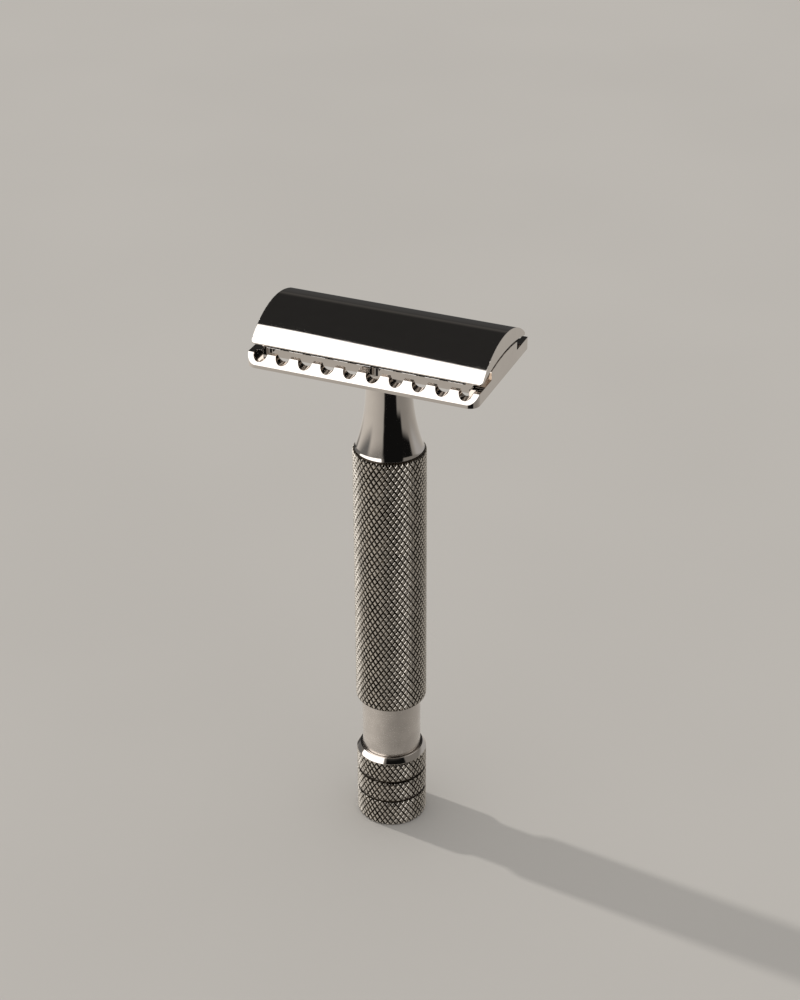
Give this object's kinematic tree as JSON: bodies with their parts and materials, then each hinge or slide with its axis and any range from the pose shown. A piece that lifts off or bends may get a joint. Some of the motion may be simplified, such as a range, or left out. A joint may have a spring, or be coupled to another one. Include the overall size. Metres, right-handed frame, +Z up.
{
  "type": "safety razor",
  "caption": "Double-edge safety razor with a scalloped guard plate, a curved cap, a knurled handle and a bottom knob that draws the cap down onto the blade.",
  "frame": {"origin": "centre of the knob's foot, on the surface the razor stands on", "axes": "+Z up the handle to the cap, +X along the head and the blade's edges, +Y across the head; the two shaving sides at -Y and +Y are alike"},
  "size_m": [0.0436, 0.027, 0.1085],
  "materials": {
    "polished_steel": "mirror polished stainless steel",
    "satin_steel": "fine turned satin stainless steel",
    "knurled_steel": "diamond knurled stainless steel, darkened in the cuts",
    "blade_steel": "thin hard blade strip with ground edges",
    "bush_brass": "machined brass",
    "spring_steel": "hardened spring steel"
  },
  "bodies": {
    "handle": {"base_plate": "polished_steel", "neck": "polished_steel", "grip_sleeve": "knurled_steel", "core_tube": "satin_steel", "upper_bush": "bush_brass", "lower_bush": "bush_brass", "thrust_washer": "bush_brass", "wave_washer": "spring_steel"},
    "knob": {"knob_shell": "knurled_steel", "knob_screw": "spring_steel", "knob_base_plug": "satin_steel", "draw_rod": "satin_steel", "rod_socket": "bush_brass", "socket_pin": "spring_steel", "retaining_clip": "spring_steel"},
    "cap": {"top_cap": "polished_steel", "cap_stud": "satin_steel", "locating_pin_left": "satin_steel", "locating_pin_right": "satin_steel"},
    "blade": {"blade": "blade_steel"}
  },
  "joints": [
    {"name": "knob_turn", "type": "hinge", "parent": "handle", "child": "knob", "pos_m": [0, 0, 0.008], "axis": [0, 0, -1], "range_deg": [0, 3600]},
    {"name": "cap_lift", "type": "slide", "parent": "handle", "child": "cap", "axis": [0, 0, 1], "range_m": [0, 0.008]},
    {"name": "blade_lift", "type": "slide", "parent": "handle", "child": "blade", "axis": [0, 0, 1], "range_m": [0, 0.004]}
  ],
  "couplings": [
    {"joint": "knob_turn", "follows": "cap_lift", "rad_per_m": 7854},
    {"joint": "blade_lift", "follows": "cap_lift", "ratio": 0.5}
  ]
}
